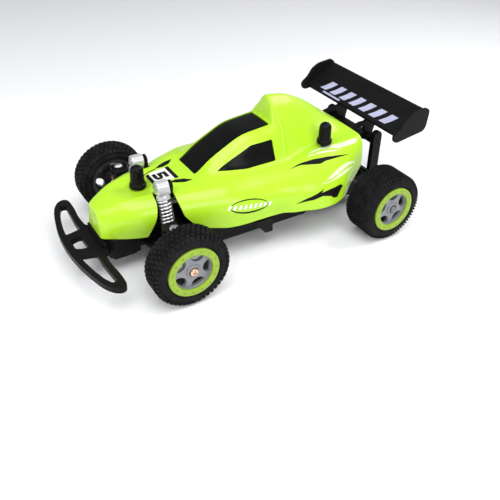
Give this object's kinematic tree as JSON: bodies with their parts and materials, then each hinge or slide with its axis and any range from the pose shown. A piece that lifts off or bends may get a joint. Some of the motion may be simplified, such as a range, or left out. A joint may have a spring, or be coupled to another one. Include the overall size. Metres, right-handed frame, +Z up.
{
  "type": "remote control car",
  "caption": "Toy racing buggy with a moulded shell, sprung steered front wheels, a geared rear axle and a rear wing.",
  "frame": {"origin": "on the ground, below the middle of the overall length and width", "axes": "+X forward, +Y to the car's left, +Z up"},
  "size_m": [0.257, 0.1602, 0.097],
  "materials": {
    "lime_gloss": "glossy",
    "lime_ring": "satin, dimpled",
    "black_gloss": "glossy",
    "tyre": "matte",
    "cap_rubber": "satin",
    "grey_plastic": "satin",
    "silver_plastic": "silver paint",
    "steel": "plated",
    "brass": "plated",
    "white_plastic": "satin",
    "battery_wrap": "shrink wrap",
    "board_green": "lacquer",
    "black_plastic": "satin"
  },
  "bodies": {
    "car": {"body_shell": "lime_gloss", "windscreen": "black_gloss", "side_window_left": "black_gloss", "side_window_right": "black_gloss", "post_cap_front": "cap_rubber", "post_cap_rear_left": "cap_rubber", "post_cap_rear_right": "cap_rubber", "shock_barrel_left": "silver_plastic", "shock_barrel_right": "silver_plastic", "motor": "steel", "battery_door_screw": "steel", "arm_pin_left": "steel", "arm_pin_right": "steel", "shock_spring_left": "steel", "shock_spring_right": "steel", "battery_pack": "battery_wrap", "circuit_board": "board_green", "chassis_pan": "black_plastic", "front_bumper": "black_plastic", "rear_wing": "black_plastic", "wing_mount": "black_plastic", "rear_tower": "black_plastic", "shock_tower": "black_plastic", "body_post_front": "black_plastic", "body_posts_rear": "black_plastic", "steering_servo": "black_plastic", "gearbox_housing": "black_plastic", "gearbox_cover": "black_plastic", "battery_door": "black_plastic"},
    "arm_left": {"lower_arm_left": "black_plastic", "kingpin_left": "steel"},
    "steering_left": {"knuckle_left": "black_plastic", "wheel_screw_left": "brass"},
    "front_wheel_left": {"tyre_front_left": "tyre", "rim_front_left": "grey_plastic", "bead_ring_front_left": "lime_ring"},
    "rod_left": {"shock_rod_left": "black_plastic"},
    "arm_right": {"lower_arm_right": "black_plastic", "kingpin_right": "steel"},
    "steering_right": {"knuckle_right": "black_plastic", "wheel_screw_right": "brass"},
    "front_wheel_right": {"tyre_front_right": "tyre", "rim_front_right": "grey_plastic", "bead_ring_front_right": "lime_ring"},
    "rod_right": {"shock_rod_right": "black_plastic"},
    "tie_rod": {"tie_rod": "black_plastic"},
    "servo_horn": {"servo_horn": "white_plastic"},
    "rear_axle": {"rear_axle": "steel", "drive_gear": "white_plastic", "tyre_rear_left": "tyre", "tyre_rear_right": "tyre", "rim_rear_left": "grey_plastic", "rim_rear_right": "grey_plastic", "bead_ring_rear_left": "lime_ring", "bead_ring_rear_right": "lime_ring", "wheel_nut_left": "steel", "wheel_nut_right": "steel"},
    "compound_gear": {"compound_gear": "white_plastic"},
    "motor_pinion": {"motor_pinion": "brass"},
    "power_switch": {"power_switch": "grey_plastic"}
  },
  "joints": [
    {"name": "arm_left", "type": "hinge", "parent": "car", "child": "arm_left", "pos_m": [0.07225, 0.014, 0.018], "axis": [1, 0, 0], "range_deg": [0, 9], "stiffness_Nm_per_rad": 0.8, "springref_deg": -5.39},
    {"name": "steer_left", "type": "hinge", "parent": "arm_left", "child": "steering_left", "pos_m": [0.07225, 0.0458, 0.026], "axis": [0, 0, 1], "range_deg": [-20, 20]},
    {"name": "roll_left", "type": "hinge", "parent": "steering_left", "child": "front_wheel_left", "pos_m": [0.07225, 0.073, 0.026], "axis": [0, 1, 0], "continuous": true},
    {"name": "arm_right", "type": "hinge", "parent": "car", "child": "arm_right", "pos_m": [0.07225, -0.014, 0.018], "axis": [-1, 0, 0], "range_deg": [0, 9], "stiffness_Nm_per_rad": 0.8, "springref_deg": -5.39},
    {"name": "steer_right", "type": "hinge", "parent": "arm_right", "child": "steering_right", "pos_m": [0.07225, -0.0458, 0.026], "axis": [0, 0, 1], "range_deg": [-20, 20]},
    {"name": "roll_right", "type": "hinge", "parent": "steering_right", "child": "front_wheel_right", "pos_m": [0.07225, -0.073, 0.026], "axis": [0, 1, 0], "continuous": true},
    {"name": "shock_left", "type": "slide", "parent": "car", "child": "rod_left", "axis": [0, -0.2755, 0.9613], "range_m": [0, 0.0028], "deforming": ["shock_spring_left"]},
    {"name": "shock_right", "type": "slide", "parent": "car", "child": "rod_right", "axis": [0, 0.2755, 0.9613], "range_m": [0, 0.0028], "deforming": ["shock_spring_right"]},
    {"name": "tie_rod_slide", "type": "slide", "parent": "car", "child": "tie_rod", "axis": [0, 1, 0], "range_m": [-0.0053, 0.0053]},
    {"name": "servo_turn", "type": "hinge", "parent": "car", "child": "servo_horn", "pos_m": [0.04325, 0, 0.0295], "axis": [0, 0, 1], "range_deg": [-21, 21]},
    {"name": "rear_spin", "type": "hinge", "parent": "car", "child": "rear_axle", "pos_m": [-0.08495, 0, 0.026], "axis": [0, 1, 0], "continuous": true},
    {"name": "compound_spin", "type": "hinge", "parent": "car", "child": "compound_gear", "pos_m": [-0.07775, 0, 0.03847], "axis": [0, 1, 0], "continuous": true},
    {"name": "pinion_spin", "type": "hinge", "parent": "car", "child": "motor_pinion", "pos_m": [-0.06611, 0, 0.0287], "axis": [0, 1, 0], "continuous": true},
    {"name": "switch_slide", "type": "slide", "parent": "car", "child": "power_switch", "axis": [1, 0, 0], "range_m": [0, 0.003]}
  ],
  "couplings": [
    {"joint": "steer_right", "follows": "steer_left", "ratio": 1},
    {"joint": "tie_rod_slide", "follows": "steer_left", "m_per_rad": -0.0145},
    {"joint": "servo_turn", "follows": "steer_left", "ratio": -1},
    {"joint": "shock_left", "follows": "arm_left", "m_per_rad": 0.0168},
    {"joint": "shock_right", "follows": "arm_right", "m_per_rad": 0.0168},
    {"joint": "compound_spin", "follows": "rear_spin", "ratio": -3},
    {"joint": "pinion_spin", "follows": "rear_spin", "ratio": 11.25}
  ]
}
